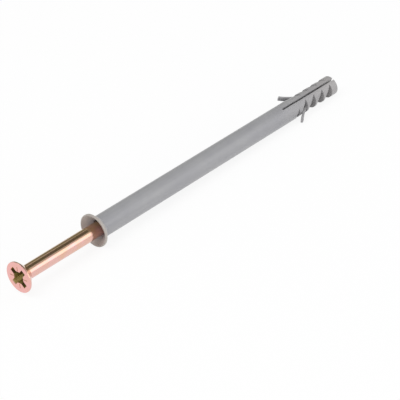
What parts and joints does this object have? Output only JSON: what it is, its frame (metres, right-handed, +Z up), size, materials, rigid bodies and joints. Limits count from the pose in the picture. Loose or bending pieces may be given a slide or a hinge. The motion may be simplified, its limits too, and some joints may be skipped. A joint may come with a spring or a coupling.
{
  "type": "frame fixing",
  "caption": "Hammer-in frame fixing: a countersunk plastic expansion sleeve with a slit, toothed and barbed end, and a cross-recessed nail screw standing part driven in its bore.",
  "frame": {"origin": "bottom centre of the whole fixing's box, on the surface that it lies on", "axes": "+X along the sleeve from the screw's head to the sleeve's tip, which leans down by about 1.2 degrees; +Z up; -Y is the side that the near barb points to"},
  "size_m": [0.155, 0.0122, 0.0125],
  "materials": {
    "sleeve_plastic": "grey nylon as moulded, fine satin",
    "screw_steel": "steel, zinc plated and passivated to a pinkish gold"
  },
  "bodies": {
    "root": {"expansion_sleeve": "sleeve_plastic", "nail_screw": "screw_steel"}
  },
  "joints": []
}
